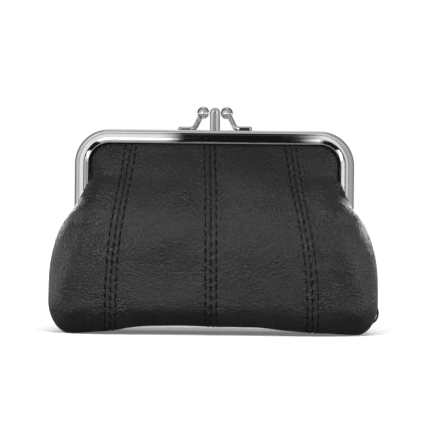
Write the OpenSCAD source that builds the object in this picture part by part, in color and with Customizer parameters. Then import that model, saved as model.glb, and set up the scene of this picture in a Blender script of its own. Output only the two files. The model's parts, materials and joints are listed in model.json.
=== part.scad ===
// Leather coin purse on a hinged metal frame with a double ball clasp.
// X runs along the frame, -Y is the front, +Z is up, the origin is under the middle of the base.

/* [Frame] */
// Outside width of the metal frames
frame_w = 112; // [104:0.5:116]
// Height of the top of the frames above the floor
frame_top = 81.7; // [79:0.1:86]
// Outside radius of the frames' upper corners
frame_corner_r = 13.8; // [11:0.1:17]
// Depth of the front and rear channels, from the outer rim to the rolled lip
channel_depth = 5.5; // [5:0.1:6.5]
// Width of the front and rear channels, from back wall to face
channel_w = 5.2; // [4.8:0.1:6]
// Sheet thickness of the front and rear frames
sheet_t = 0.8; // [0.7:0.05:0.9]
// Radius of the rounded rim at the outer edge of the face
rim_r = 1.5; // [1.2:0.1:1.8]
// Width of the groove between the rim and the face
groove_w = 0.45; // [0.3:0.05:0.6]
// Depth of the groove between the rim and the face
groove_d = 0.3; // [0.2:0.05:0.4]
// How far the face bulges beyond its edges
face_crown = 0.15; // [0.05:0.05:0.3]
// Radius of the rolled lip
lip_r = 0.42; // [0.35:0.01:0.45]
// How much shorter the back wall of a channel is than its face
back_wall_step = 1.1; // [0.8:0.1:1.5]
// Width of the middle frame
middle_w = 2.8; // [2.4:0.1:3.4]
// Depth of the middle frame's channel
middle_depth = 4.5; // [4:0.1:5]
// Sheet thickness of the middle frame
middle_t = 0.6; // [0.5:0.05:0.7]
// Clearance between the middle frame and the frames beside it
frame_gap = 0.2; // [0.1:0.05:0.4]

/* [Hinge] */
// Height of the hinge axis above the floor
hinge_z = 43; // [40:0.5:45]
// Radius of the hinge pins
pin_r = 1.2; // [1:0.1:1.4]
// Radial clearance of the ears on the hinge pins
pin_clearance = 0.05; // [0.02:0.01:0.09]
// Radius of the hinge ears
ear_r = 3; // [2.6:0.1:3.4]
// Clearance between two ears along the pin
ear_gap = 0.1; // [0.05:0.05:0.2]
// Height of the channels' lower ends above the hinge axis
leg_end_h = 3.5; // [3.2:0.1:4.5]
// Height over which an ear laps its leg
ear_lap = 5; // [4:0.5:7]
// Radius of the pin heads
pin_head_r = 2.1; // [1.8:0.1:2.5]
// Thickness of the pin heads
pin_head_t = 0.8; // [0.6:0.1:1]
// Angle that each outer frame swings open
open_angle = 35; // [25:1:36]

/* [Clasp] */
// Radius of the clasp balls
ball_r = 2.5; // [2.2:0.05:2.7]
// Height of the ball centres above the top of the frames
ball_h = 7.2; // [6.6:0.1:8]
// Radius of the rod that the arms are bent from
arm_r = 1.05; // [0.9:0.05:1.15]
// Distance from the middle to the outer end of an arm's foot
foot_out = 13.9; // [12.5:0.1:15]
// Distance from the middle to the corner between an arm's foot and its rising rod
foot_in = 8.3; // [7.8:0.1:9]
// Radius of the bend between an arm's foot and its rising rod
arm_bend_r = 2.2; // [1.6:0.1:3]
// Depth that an arm's foot is let into the frame
foot_sink = 0.35; // [0.2:0.05:0.5]
// How far each ball lies beyond the middle of the post, on the far side of its own frame
ball_beyond = 0.9; // [0.4:0.1:1.2]
// Radius of the two rods of the post
post_rod_r = 1; // [0.9:0.01:1.1]
// Gap between the two rods of the post
post_gap = 0.08; // [0.06:0.01:0.15]
// Height of the post above the top of the frames
post_h = 9.3; // [8.5:0.1:10]
// Clearance between a ball and the post that it passes
ball_clearance = 0.2; // [0.15:0.05:0.5]

/* [Leather] */
// Thickness of the leather
leather_t = 1.2; // [0.9:0.05:1.4]
// Room between each hinge pin and the inside of the lower leather
hinge_room = 3.2; // [2.8:0.1:4]
// How far each side stands out at the belly beyond its place at the hinge
side_bulge = 5.1; // [4:0.1:6]
// Height of the widest place of the body
belly_z = 15; // [12:0.5:18]
// How far each side of the base is drawn in under the belly
base_draw_x = 6.4; // [5:0.1:8]
// How far the front and back of the base are drawn in under the belly
base_draw_y = 4.6; // [3:0.1:6]
// Half depth of the upper leather at the hinge
upper_half_depth = 22.5; // [21:0.1:24]
// Clearance between the upper leather and the lower leather that it swings into
swing_gap = 0.6; // [0.4:0.05:0.8]
// How far the upper leather stands out beyond the frame at the hinge
upper_overhang = 1; // [0.5:0.1:1.5]
// Height above the hinge at which the upper leather leaves the inner edge of the legs
skin_rise = 17; // [15:0.5:20]
// Height of the arch in the middle of the base
arch_h = 3.2; // [1:0.1:4]
// Half width of the arch in the base
arch_half_w = 48; // [40:1:50]
// Height at which the arch of the base has faded out
arch_fade_z = 30; // [20:1:36]
// Distance from the middle to the outer seams at the base
seam_low = 41.2; // [38:0.1:44]
// Distance from the middle to the outer seams at the frame
seam_high = 32.4; // [28:0.1:36]
// Depth of the leather in the channel, from the outer rim of the frame
tuck_r = 1.8; // [1.4:0.1:2.4]
// Clearance between the leather and the face of the channel
tuck_clearance = 0.1; // [0.05:0.05:0.2]
// Clearance between the leather and the rolled lip
lip_clearance = 0.6; // [0.5:0.05:0.8]
// Radius of the paper cord that wedges the leather in its channel
cord_r = 0.75; // [0.6:0.05:0.8]
// Distance of the paper cord from the edge of the channel's back wall
cord_inset = 0.3; // [0.2:0.05:0.5]
// Clearance between the paper cord and the lining
cord_clearance = 0.1; // [0.05:0.05:0.2]

/* [Lining] */
// Thickness of the lining cloth
lining_t = 0.5; // [0.3:0.05:0.6]
// Gap between the leather and the lining
lining_gap = 0.3; // [0.2:0.05:0.4]
// Gap between the two cloths of the divider
divider_gap = 0.1; // [0.05:0.05:0.3]
// Height of the divider's lower edge above the floor
divider_bottom = 6.2; // [5.8:0.1:8]
// Height of the slope with which the divider widens below the hinge ears
divider_flare = 2; // [1.5:0.1:3]
// Distance between the swinging leather at its lowest and the upper edge of the lower lining
lining_drop = 1.5; // [1:0.1:3]

/* [Key ring] */
// Outside radius of the key ring
ring_r = 6; // [5:0.1:8]
// Radius of the key ring's wire
ring_wire_r = 0.42; // [0.35:0.01:0.5]
// Distance of the tab's middle from the widest place of the body's side
ring_inset = 5.2; // [3:0.1:6]
// Height of the ring's upper wire above the floor
ring_hang_z = 14.7; // [14.5:0.1:18]
// Angle at which the ring stands off the body
ring_lean = 12; // [0:1:20]
// Distance of the tab's inner face from the leather
tab_gap = 0.3; // [0.2:0.05:1]
// Width of the leather tab
tab_w = 3.2; // [2.5:0.1:4]
// Height of the leather tab above the ring's wire
tab_h = 7; // [5:0.5:9]
// Thickness of the tab's leather
tab_t = 0.8; // [0.6:0.05:1]
// Clearance around the ring's wire in the tab
tab_clearance = 0.43; // [0.3:0.01:0.6]

/* [Hidden] */
$fn = 64;
steel = "silver";
dark_steel = "dimgray";
hide = [0.13, 0.13, 0.14];
cloth = [0.2, 0.2, 0.22];
paper = "tan";

// Frame sizes that follow from the driving ones.
frame_back = middle_w / 2 + frame_gap;
frame_face = frame_back + channel_w;
straight_half = frame_w / 2 - frame_corner_r;
corner_z = frame_top - frame_corner_r;
leg_end_z = hinge_z + leg_end_h;
front_ear_x = frame_w / 2 - sheet_t;
rear_ear_x = front_ear_x - ear_gap - sheet_t;
middle_ear_x = rear_ear_x - ear_gap - sheet_t;
ear_weld = 0.05;
ear_slope = 37;
cut_beyond = 2;

// Where an arm ends inside its ball, as a share of the ball's radius from its middle.
arm_aim = [0.2, -0.4, -0.1];

// Clasp places, drawn for the front frame's arm on the right.
foot_y = -(frame_back + frame_face) / 2;
foot_z = frame_top + arm_r - foot_sink;
foot_length = foot_out - foot_in;
post_rod_x = post_rod_r + post_gap / 2;
ball_x = post_rod_x + post_rod_r + ball_clearance + ball_r;
ball_at = [ball_x, ball_beyond, frame_top + ball_h];
arm_end = ball_at + ball_r * arm_aim;
arm_lean = atan2(arm_end[1] - foot_y, arm_end[2] - foot_z);
arm_rise = norm([arm_end[1] - foot_y, arm_end[2] - foot_z]);
arm_turn = atan2(arm_rise, foot_in - arm_end[0]);
arm_length = norm([arm_rise, foot_in - arm_end[0]]);
bend_run = arm_bend_r * tan(arm_turn / 2);

// Shape of the leather: powers of its curves and the directions in which it leaves hinge and frame.
base_power = 3.5;
side_power = 4;
depth_power = 0.4;
bow_share = 0.36;
rise_at_crown = [0, 0.42, 0.9];
rise_at_leg = [-0.35, -0.05, 0.9];
reach_at_crown = [0, -0.72, -0.7];
reach_at_leg = [0, -0.95, -0.45];
leg_lip_out = 0.4;
leg_lip_fold = 0.3;
leg_tuck_back = 0.6;
base_narrowing = 0.97;
flat_rest = 1e-6;

// Leather sizes that follow from the driving ones.
pin_end_x = frame_w / 2 + ear_gap + pin_head_t;
belly_half_w = pin_end_x + hinge_room + leather_t + side_bulge;
hinge_half_w = pin_end_x + hinge_room - swing_gap;
upper_half_w = frame_w / 2 + upper_overhang;
belly_half_depth = upper_half_depth + swing_gap + leather_t;
wrap_angle = open_angle + 1;
leg_skin_end = hinge_z + skin_rise;
path_half = straight_half + frame_corner_r * PI / 2 + corner_z - leg_skin_end;
lining_in = leather_t + lining_gap;
lining_top = hinge_z - upper_half_depth * sin(open_angle) - lining_drop;
cord_depth = channel_depth - back_wall_step - cord_r - cord_inset;

// Columns and rows of points that the leather is drawn on; a column of seam_share lies on a seam.
seam_share = 0.6;
centre_columns = [0, 0.15, 0.3, 0.45, 0.6];
side_columns = [0.6, 0.68, 0.76, 0.83, 0.89, 0.94, 0.975, 1];
base_rows = [0, 0.4, 0.75];
wall_rows = [0, 0.03, 0.09, 0.2, 0.35, 0.55, 0.78, 1];
wrap_rows = 3;
rise_rows = 5;

// Step over which the leather's slope is taken at the tab.
slope_step = 0.1;
// Places that follow from the leather.
ring_x = belly_half_w - ring_inset;
ring_turn = atan2(ring_skin_y(ring_x - slope_step) - ring_skin_y(ring_x + slope_step), 2 * slope_step);
tab_bore_r = ring_wire_r + tab_clearance;
tab_bend_r = tab_bore_r + tab_t;

// Points on an arc in a plane, from one angle to another.
function arc(c, r, from, to, steps) =
  [for (i = [0:steps]) let (a = from + (to - from) * i / steps) c + r * [cos(a), sin(a)]];

function mix(a, b, t) = a + (b - a) * t;

// Section of an outer frame's channel: x is measured inward from the rim, y forward from the back.
function channel_section() =
  let (lip = [channel_depth - lip_r, channel_w - lip_r])
  concat(
    [[channel_depth - back_wall_step, sheet_t], [channel_depth - back_wall_step, 0]],
    arc([sheet_t / 2, sheet_t / 2], sheet_t / 2, 270, 180, 3),
    arc([rim_r, channel_w - rim_r], rim_r, 180, 90, 8),
    [[rim_r + groove_w / 4, channel_w - groove_d], [rim_r + groove_w * 3 / 4, channel_w - groove_d]],
    [for (i = [0:8]) let (t = i / 8)
      [mix(rim_r + groove_w, lip[0], t), channel_w + face_crown * (4 * t * (1 - t)) - lip_r * t * t / 3]],
    arc(lip, lip_r, 60, -90, 8),
    [[sheet_t * 1.5, channel_w - sheet_t], [sheet_t, channel_w - sheet_t * 1.5], [sheet_t, sheet_t]]
  );

// Carries a section drawn in frame coordinates round the top and both legs of a frame.
module around_frame(end_z) {
  rotate([90, 0, 0]) {
    translate([0, corner_z, 0]) rotate([90, 0, 90])
      linear_extrude(2 * straight_half, center = true) children();
    for (side = [0, 1]) mirror([side, 0, 0]) translate([straight_half, corner_z, 0]) {
      rotate_extrude(angle = 90) children();
      rotate([90, 0, 0]) linear_extrude(corner_z - end_z) children();
    }
  }
}

// Flat ear in the YZ plane, lapped onto the leg of an outer frame that lies towards the front.
module ear(inner_x) {
  wide = ear_r * cos(ear_slope);
  low = ear_r * sin(ear_slope);
  translate([inner_x, 0, hinge_z]) rotate([90, 0, 90]) linear_extrude(sheet_t) {
    circle(ear_r);
    polygon([[-wide, -low], [-frame_face + rim_r, leg_end_h],
      [-frame_face + rim_r, leg_end_h + ear_lap], [-frame_back, leg_end_h + ear_lap],
      [-frame_back, leg_end_h + low], [low, wide]]);
  }
}

module pin_bores(r) {
  translate([0, 0, hinge_z]) rotate([0, 90, 0])
    cylinder(h = frame_w + 2 * cut_beyond, r = r, center = true);
}

// Front frame before its bores and its foot seat; the rear frame is its mirror image with other ears.
module outer_frame(ear_x) {
  difference() {
    union() {
      around_frame(leg_end_z) translate([0, frame_back]) mirror([1, 0])
        translate([-frame_corner_r, 0]) polygon(channel_section());
      for (side = [0, 1]) mirror([side, 0, 0]) {
        ear(ear_x);
        if (ear_x < front_ear_x) joggle_pad();
      }
    }
    pin_bores(pin_r + pin_clearance);
    foot_seat();
  }
}

// Spot-welded pad that carries the inner ear on the wall of its leg.
module joggle_pad() {
  translate([rear_ear_x + sheet_t - ear_weld, -frame_face + rim_r, leg_end_z])
    cube([ear_gap + 2 * ear_weld, channel_w - rim_r - sheet_t, ear_lap]);
}

module front_frame() {
  color(steel) outer_frame(front_ear_x);
}

module rear_frame() {
  color(steel) mirror([0, 1, 0]) mirror([1, 0, 0]) outer_frame(rear_ear_x);
}

module middle_frame() {
  ear_top = leg_end_h + 2 * ear_lap;
  color(steel) difference() {
    union() {
      around_frame(leg_end_z + ear_lap) translate([frame_corner_r, 0]) difference() {
        translate([-middle_depth, -middle_w / 2]) square([middle_depth, middle_w]);
        translate([-middle_depth - cut_beyond, -middle_w / 2 + middle_t])
          square([middle_depth + cut_beyond - middle_t, middle_w - 2 * middle_t]);
      }
      for (side = [0, 1]) mirror([side, 0, 0]) translate([middle_ear_x, 0, hinge_z])
        rotate([90, 0, 90]) linear_extrude(sheet_t) {
          circle(middle_w / 2 + middle_t);
          translate([-middle_w / 2, 0]) square([middle_w, ear_top]);
        }
    }
    pin_bores(pin_r);
    post_rods(frame_top - middle_t - cut_beyond, frame_top + cut_beyond);
  }
}

module hinge_pin() {
  pin_length = pin_end_x - middle_ear_x;
  translate([middle_ear_x - pin_head_t, 0, hinge_z]) rotate([0, 90, 0]) {
    cylinder(h = pin_head_t, r = pin_head_r);
    cylinder(h = pin_length, r = pin_r);
    translate([0, 0, pin_length]) {
      cylinder(h = pin_head_t / 2, r = pin_head_r);
      translate([0, 0, pin_head_t / 2]) cylinder(h = pin_head_t / 2, r1 = pin_head_r, r2 = pin_head_r / 2);
    }
  }
}

module left_hinge_pin() {
  color(steel) mirror([1, 0, 0]) hinge_pin();
}

module right_hinge_pin() {
  color(steel) hinge_pin();
}

// The plane that an arm is bent in, with its origin at the corner of its foot.
module in_arm_plane() {
  translate([foot_in, foot_y, foot_z]) rotate([-arm_lean, 0, 0]) children();
}

// Stations along the arm: place in its plane, heading and radius.
function arm_stations(bend_steps) = concat(
  [for (a = [75:-15:0]) [[foot_length + arm_r * sin(a), 0], 180, arm_r * cos(a)]],
  [for (i = [0:bend_steps]) let (a = arm_turn * i / bend_steps)
    [[bend_run - arm_bend_r * sin(a), arm_bend_r * (1 - cos(a))], 180 - a, arm_r]],
  [[[-arm_length * cos(arm_turn), arm_length * sin(arm_turn)], 180 - arm_turn, arm_r]]
);

module arm_rod() {
  sides = 24;
  stations = arm_stations(8);
  count = len(stations);
  points = [for (s = stations, i = [0:sides - 1])
    let (a = 360 * i / sides, across_plane = s[2] * cos(a), in_plane = s[2] * sin(a))
    [s[0][0] - in_plane * sin(s[1]), across_plane, s[0][1] + in_plane * cos(s[1])]];
  wall = [for (k = [0:count - 2], i = [0:sides - 1])
    let (m = k * sides + i, n = k * sides + (i + 1) % sides)
    each [[m, n, n + sides], [m, n + sides, m + sides]]];
  caps = [[for (i = [sides - 1:-1:0]) i], [for (i = [0:sides - 1]) (count - 1) * sides + i]];
  in_arm_plane() polyhedron(points, concat(wall, caps));
}

// Seat of an arm's foot in the top of its frame.
module foot_seat() {
  in_arm_plane() {
    rotate([0, 90, 0]) cylinder(h = foot_length, r = arm_r);
    sphere(arm_r);
    translate([foot_length, 0, 0]) sphere(arm_r);
  }
}

// The ball is bored for the end of its arm.
module clasp_ball() {
  difference() {
    translate(ball_at) sphere(ball_r);
    in_arm_plane() rotate([0, arm_turn - 90, 0]) cylinder(h = arm_length, r = arm_r);
  }
}

module front_clasp_arm() {
  color(steel) arm_rod();
}

module front_clasp_ball() {
  color(steel) clasp_ball();
}

module rear_clasp_arm() {
  color(steel) rotate([0, 0, 180]) arm_rod();
}

module rear_clasp_ball() {
  color(steel) rotate([0, 0, 180]) clasp_ball();
}

// The two rods of the post between two heights.
module post_rods(from_z, to_z) {
  for (side = [-1, 1]) translate([side * post_rod_x, 0, from_z])
    cylinder(h = to_z - from_z, r = post_rod_r);
}

module clasp_post() {
  bend_z = frame_top + post_h - post_rod_x - post_rod_r;
  color(steel) {
    post_rods(frame_top - middle_t, bend_z);
    translate([0, 0, bend_z]) rotate([90, 0, 0]) rotate_extrude(angle = 180)
      translate([post_rod_x, 0]) circle(post_rod_r);
  }
}

module paper_cord() {
  around_frame(leg_end_z + ear_lap + ear_gap)
    translate([frame_corner_r - cord_depth, frame_back + sheet_t + lining_t + cord_clearance + cord_r])
      circle(cord_r);
}

module front_paper_cord() {
  color(paper) paper_cord();
}

module rear_paper_cord() {
  color(paper) mirror([0, 1, 0]) paper_cord();
}

// Half depth of an oval section at distance x from the middle.
function oval(x, half_w, half_d) =
  let (rest = 1 - pow(min(1, abs(x) / half_w), side_power))
  rest < flat_rest ? 0 : half_d * pow(rest, depth_power);

// Distance of the outer seams from the middle at a height.
function seam_at(z) = mix(seam_low, seam_high, z / (frame_top - channel_depth));

// Place across the body of a column: the seams lie at seam_share, the side at 1.
function across(c, seam, side) =
  sign(c) * (abs(c) <= seam_share ? abs(c) / seam_share * seam
    : mix(seam, side, (abs(c) - seam_share) / (1 - seam_share)));

// Half width and half depth of the lower body at a height, before the inset.
function body_half_w(z) = z > belly_z
  ? belly_half_w - side_bulge * pow((z - belly_z) / (hinge_z - belly_z), 2)
  : belly_half_w - base_draw_x * pow((belly_z - z) / belly_z, base_power);
function body_half_d(z) = z > belly_z ? belly_half_depth
  : belly_half_depth - base_draw_y * pow((belly_z - z) / belly_z, base_power);

function arch(x, z) = abs(x) >= arch_half_w || z > arch_fade_z ? 0
  : arch_h * pow(1 - pow(x / arch_half_w, 2), 2) * (1 - z / arch_fade_z);

// Point of the lower body; the first rows run over the base, the others up the wall.
function lower_point(c, row, inset, top_z) =
  let (
    on_base = row < len(base_rows),
    z = on_base ? 0 : wall_rows[row - len(base_rows)] * top_z,
    share = on_base ? base_rows[row] : 1,
    half_w = body_half_w(z) - inset,
    x = across(c, seam_at(z), half_w),
    y = oval(x, half_w, body_half_d(z) - inset),
    flat_x = x * mix(base_narrowing, 1, share)
  )
  [flat_x, -y * share, z * (1 - inset / top_z) + inset + arch(flat_x, z)];

// Place on the frame's path: x, height and how far the path has turned into the leg.
function frame_path(s, inward) =
  let (turn = (s - straight_half) / frame_corner_r * 180 / PI, r = frame_corner_r - inward)
  s <= straight_half ? [s, frame_top - inward, 0]
  : turn < 90 ? [straight_half + r * sin(turn), corner_z + r * cos(turn), turn / 90]
  : [straight_half + r, corner_z - (s - straight_half - frame_corner_r * PI / 2), 1];

function bezier(a, b, c, d, t) =
  pow(1 - t, 3) * a + 3 * pow(1 - t, 2) * t * b + 3 * (1 - t) * t * t * c + pow(t, 3) * d;

// Point of the upper body: wrap rows turn about the hinge axis, rise rows run up to the lip of the
// channel and the last row lies in the channel. lip_y is the depth of the skin at the lip, and
// tuck_back is how far the last row lies behind it along the legs.
function upper_point(c, row, inset, lip_y, tuck_back) =
  let (
    x = across(c, seam_at(hinge_z), upper_half_w - inset),
    reach = oval(x, hinge_half_w - inset, upper_half_depth - inset),
    side = c < 0 ? -1 : 1,
    s = across(abs(c), seam_high, path_half),
    leg = frame_path(s, 0)[2],
    lip = frame_path(s, channel_depth + lip_clearance + inset * leg),
    lip_out = leg < 1 ? 0 : leg_lip_out - inset * leg_lip_fold,
    lip_point = [side * lip[0], -lip_y - lip_out, lip[1]],
    tuck = frame_path(s, leg < 1 ? tuck_r : channel_depth + lip_clearance + inset),
    turn = min(row, wrap_rows) / wrap_rows * wrap_angle,
    low = [x, -reach * cos(turn), hinge_z + reach * sin(turn)],
    bow = norm(lip_point - low) * bow_share,
    rise = mix(rise_at_crown, rise_at_leg, leg),
    rise_out = [side * rise[0], rise[1], rise[2]],
    reach_out = mix(reach_at_crown, reach_at_leg, leg)
  )
  row <= wrap_rows ? low
  : row <= wrap_rows + rise_rows
    ? bezier(low, low + rise_out * bow, lip_point + reach_out * bow, lip_point,
      (row - wrap_rows) / rise_rows)
  : [side * tuck[0], -lip_y + (leg < 1 ? 0 : tuck_back), tuck[1]];

// Two triangles of a four-sided patch, split towards the middle of the body so that none is flat.
function patch(a, b, c, d, to_left) = to_left ? [[a, b, c], [a, c, d]] : [[a, b, d], [b, c, d]];

// Closed solid between an outer and an inner grid of points of the same size.
module skin(outer, inner) {
  rows = len(outer);
  cols = len(outer[0]);
  half = rows * cols;
  points = concat([for (row = outer) each row], [for (row = inner) each row]);
  cells = [for (i = [0:rows - 2], j = [0:cols - 2]) i * cols + j];
  outside = [for (k = cells) each patch(k, k + cols, k + cols + 1, k + 1, points[k + 1][0] <= 0.01)];
  inside = [for (m = cells) let (k = m + half)
    each patch(k + 1, k + cols + 1, k + cols, k, points[k + 1][0] > 0.01)];
  ends = [for (j = [0:cols - 2], i = [0, rows - 1]) let (k = i * cols + j, m = k + half)
    each i == 0 ? [[k, k + 1, m + 1], [k, m + 1, m]] : [[k, m + 1, k + 1], [k, m, m + 1]]];
  sides = [for (i = [0:rows - 2], j = [0, cols - 1]) let (k = i * cols + j, m = k + half, n = m + cols)
    each j == 0 ? [[k, m, n], [k, n, k + cols]] : [[k, n, m], [k, k + cols, n]]];
  polyhedron(points, concat(outside, inside, ends, sides));
}

// The same columns on the left, from the outside in.
function mirrored(columns) = [for (i = [len(columns) - 1:-1:0]) -columns[i]];

function panel_columns(number) =
  number == 1 ? mirrored(side_columns)
  : number == 2 ? mirrored(centre_columns)
  : number == 3 ? centre_columns
  : side_columns;

// Columns of a lining, from one side of the body to the other.
function lining_columns() =
  let (half = concat(centre_columns, [for (i = [1:len(side_columns) - 1]) side_columns[i]]))
  concat([for (i = [len(half) - 1:-1:1]) -half[i]], half);

function lower_grid(columns, inset, top_z) =
  [for (row = [0:len(base_rows) + len(wall_rows) - 1])
    [for (c = columns) lower_point(c, row, inset, top_z)]];

function upper_grid(columns, inset, lip_y, tuck_back) =
  [for (row = [0:wrap_rows + rise_rows + 1])
    [for (c = columns) upper_point(c, row, inset, lip_y, tuck_back)]];

module lower_panel(number) {
  columns = panel_columns(number);
  skin(lower_grid(columns, 0, hinge_z), lower_grid(columns, leather_t, hinge_z));
}

module upper_panel(number) {
  columns = panel_columns(number);
  face_inside = frame_face - sheet_t - tuck_clearance;
  skin(upper_grid(columns, 0, face_inside, leg_tuck_back),
    upper_grid(columns, leather_t, face_inside - leather_t, leg_tuck_back));
}

module lower_lining() {
  skin(lower_grid(lining_columns(), lining_in, lining_top),
    lower_grid(lining_columns(), lining_in + lining_t, lining_top));
}

module upper_lining() {
  back_inside = frame_back + sheet_t;
  skin(upper_grid(lining_columns(), lining_in, back_inside + lining_t, 0),
    upper_grid(lining_columns(), lining_in + lining_t, back_inside, 0));
}

module front_panel_upper(number) {
  color(hide) upper_panel(number);
}

module front_panel_lower(number) {
  color(hide) lower_panel(number);
}

module rear_panel_upper(number) {
  color(hide) mirror([0, 1, 0]) upper_panel(number);
}

module rear_panel_lower(number) {
  color(hide) mirror([0, 1, 0]) lower_panel(number);
}

module front_lining_upper() {
  color(cloth) upper_lining();
}

module rear_lining_upper() {
  color(cloth) mirror([0, 1, 0]) upper_lining();
}

module front_lining_lower() {
  color(cloth) lower_lining();
}

module rear_lining_lower() {
  color(cloth) mirror([0, 1, 0]) lower_lining();
}

// Outline of the divider seen from the front: in the middle frame above, out to the sides below.
module divider_outline() {
  tuck = frame_corner_r - middle_t - divider_gap;
  neck = middle_ear_x - pin_head_t - lining_gap;
  flare_z = hinge_z - ear_r - divider_flare;
  sides = [for (i = [0:8]) let (z = mix(flare_z - divider_flare, divider_bottom, i / 8))
    [body_half_w(z) - lining_in - lining_t - lining_gap, z]];
  half = concat(
    arc([straight_half, corner_z], tuck, 90, 0, 12),
    [[straight_half + tuck, leg_end_z + 2 * ear_lap + divider_gap],
      [neck, leg_end_z + 2 * ear_lap + divider_gap], [neck, flare_z]],
    sides
  );
  polygon(concat(half, [for (i = [len(half) - 1:-1:0]) [-half[i][0], half[i][1]]]));
}

module divider_cloth() {
  translate([0, -divider_gap / 2, 0]) rotate([90, 0, 0]) linear_extrude(lining_t) divider_outline();
}

module divider_front_cloth() {
  color(cloth) divider_cloth();
}

module divider_rear_cloth() {
  color(cloth) mirror([0, 1, 0]) divider_cloth();
}

// Depth of the leather at the height of the tab.
function ring_skin_y(x) = oval(x, body_half_w(ring_hang_z), body_half_d(ring_hang_z));

// Turns the tab and the ring to lie along the rear corner of the body.
module at_ring() {
  translate([ring_x, ring_skin_y(ring_x), ring_hang_z]) rotate([0, 0, -ring_turn])
    translate([0, tab_gap, 0]) children();
}

module ring_tab() {
  color(hide) at_ring() translate([-tab_w / 2, tab_bend_r, 0]) rotate([90, 0, 90])
    linear_extrude(tab_w) difference() {
      union() {
        circle(tab_bend_r);
        translate([-tab_bend_r, 0]) square([2 * tab_t, tab_h]);
        translate([-tab_bend_r, 0]) square([2 * tab_bend_r, tab_bend_r]);
      }
      circle(tab_bore_r);
    }
}

module key_ring() {
  color(dark_steel) at_ring() translate([0, tab_bend_r, 0]) rotate([ring_lean, 0, 0])
    translate([0, 0, ring_wire_r - ring_r]) rotate([90, 0, 0])
      rotate_extrude() translate([ring_r - ring_wire_r, 0]) circle(ring_wire_r, $fn = 32);
}

front_frame();
rear_frame();
middle_frame();
left_hinge_pin();
right_hinge_pin();
front_clasp_arm();
front_clasp_ball();
rear_clasp_arm();
rear_clasp_ball();
clasp_post();
front_paper_cord();
rear_paper_cord();
front_panel_upper(1);  // front_panel_1_upper
front_panel_upper(2);  // front_panel_2_upper
front_panel_upper(3);  // front_panel_3_upper
front_panel_upper(4);  // front_panel_4_upper
front_panel_lower(1);  // front_panel_1_lower
front_panel_lower(2);  // front_panel_2_lower
front_panel_lower(3);  // front_panel_3_lower
front_panel_lower(4);  // front_panel_4_lower
rear_panel_upper(1);  // rear_panel_1_upper
rear_panel_upper(2);  // rear_panel_2_upper
rear_panel_upper(3);  // rear_panel_3_upper
rear_panel_upper(4);  // rear_panel_4_upper
rear_panel_lower(1);  // rear_panel_1_lower
rear_panel_lower(2);  // rear_panel_2_lower
rear_panel_lower(3);  // rear_panel_3_lower
rear_panel_lower(4);  // rear_panel_4_lower
front_lining_upper();
rear_lining_upper();
front_lining_lower();
rear_lining_lower();
divider_front_cloth();
divider_rear_cloth();
ring_tab();
key_ring();
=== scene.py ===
"""Looks of the leather coin purse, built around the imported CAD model. Lengths are in millimetres
until a mesh is made; Blender's own unit is the metre."""

import json
import math

import bpy
import numpy as np
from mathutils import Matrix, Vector, noise

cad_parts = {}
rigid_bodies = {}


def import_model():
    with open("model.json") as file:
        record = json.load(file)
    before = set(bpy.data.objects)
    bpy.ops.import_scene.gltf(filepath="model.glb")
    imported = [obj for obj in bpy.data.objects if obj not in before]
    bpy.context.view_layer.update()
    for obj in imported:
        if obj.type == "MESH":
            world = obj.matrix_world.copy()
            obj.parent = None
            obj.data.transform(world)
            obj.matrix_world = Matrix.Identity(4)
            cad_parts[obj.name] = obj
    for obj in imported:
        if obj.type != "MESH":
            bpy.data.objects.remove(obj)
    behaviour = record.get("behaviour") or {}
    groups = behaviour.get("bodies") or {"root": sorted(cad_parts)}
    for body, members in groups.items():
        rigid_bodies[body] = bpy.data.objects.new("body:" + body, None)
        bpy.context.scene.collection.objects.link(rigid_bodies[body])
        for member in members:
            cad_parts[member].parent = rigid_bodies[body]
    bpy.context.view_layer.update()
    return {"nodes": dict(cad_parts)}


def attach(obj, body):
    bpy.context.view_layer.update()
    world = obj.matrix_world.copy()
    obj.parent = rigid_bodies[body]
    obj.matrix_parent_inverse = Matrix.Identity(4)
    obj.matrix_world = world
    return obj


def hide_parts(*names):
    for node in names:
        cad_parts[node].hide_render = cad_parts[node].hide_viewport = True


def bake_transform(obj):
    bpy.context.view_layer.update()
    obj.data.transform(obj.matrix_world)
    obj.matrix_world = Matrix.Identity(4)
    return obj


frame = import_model()
MM = 0.001

# Sizes that the CAD source has too.
FRAME_HALF = 56.0
FRAME_TOP = 81.7
FRAME_FACE_Y = -6.8
CORNER_R = 13.8
CHANNEL_DEPTH = 5.5
STRAIGHT_HALF = FRAME_HALF - CORNER_R
CORNER_Z = FRAME_TOP - CORNER_R
LIP_R = CORNER_R - CHANNEL_DEPTH
LIP_Z = FRAME_TOP - CHANNEL_DEPTH
HINGE_Z = 43.0
BELLY_Z = 15.0
BELLY_HALF = 66.4
BELLY_DEPTH = 24.3
BASE_DRAW_Y = 4.6
BASE_POWER = 3.5
SIDE_POWER = 4
DEPTH_POWER = 0.4
ARCH_FADE_Z = 30.0
TAB_X, TAB_GAP, RING_Z = 61.2, 0.3, 14.7
TAB_W, TAB_H, TAB_T, TAB_BORE_R = 3.2, 7.0, 0.8, 0.85

# Thickness of the scene's leather and lining, a tenth of a millimetre less than the solids'.
LEATHER_T = 1.1
LINING_T = 0.4

# Points across half a section.
SECTION_POINTS = 700


# Curves and noise

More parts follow.
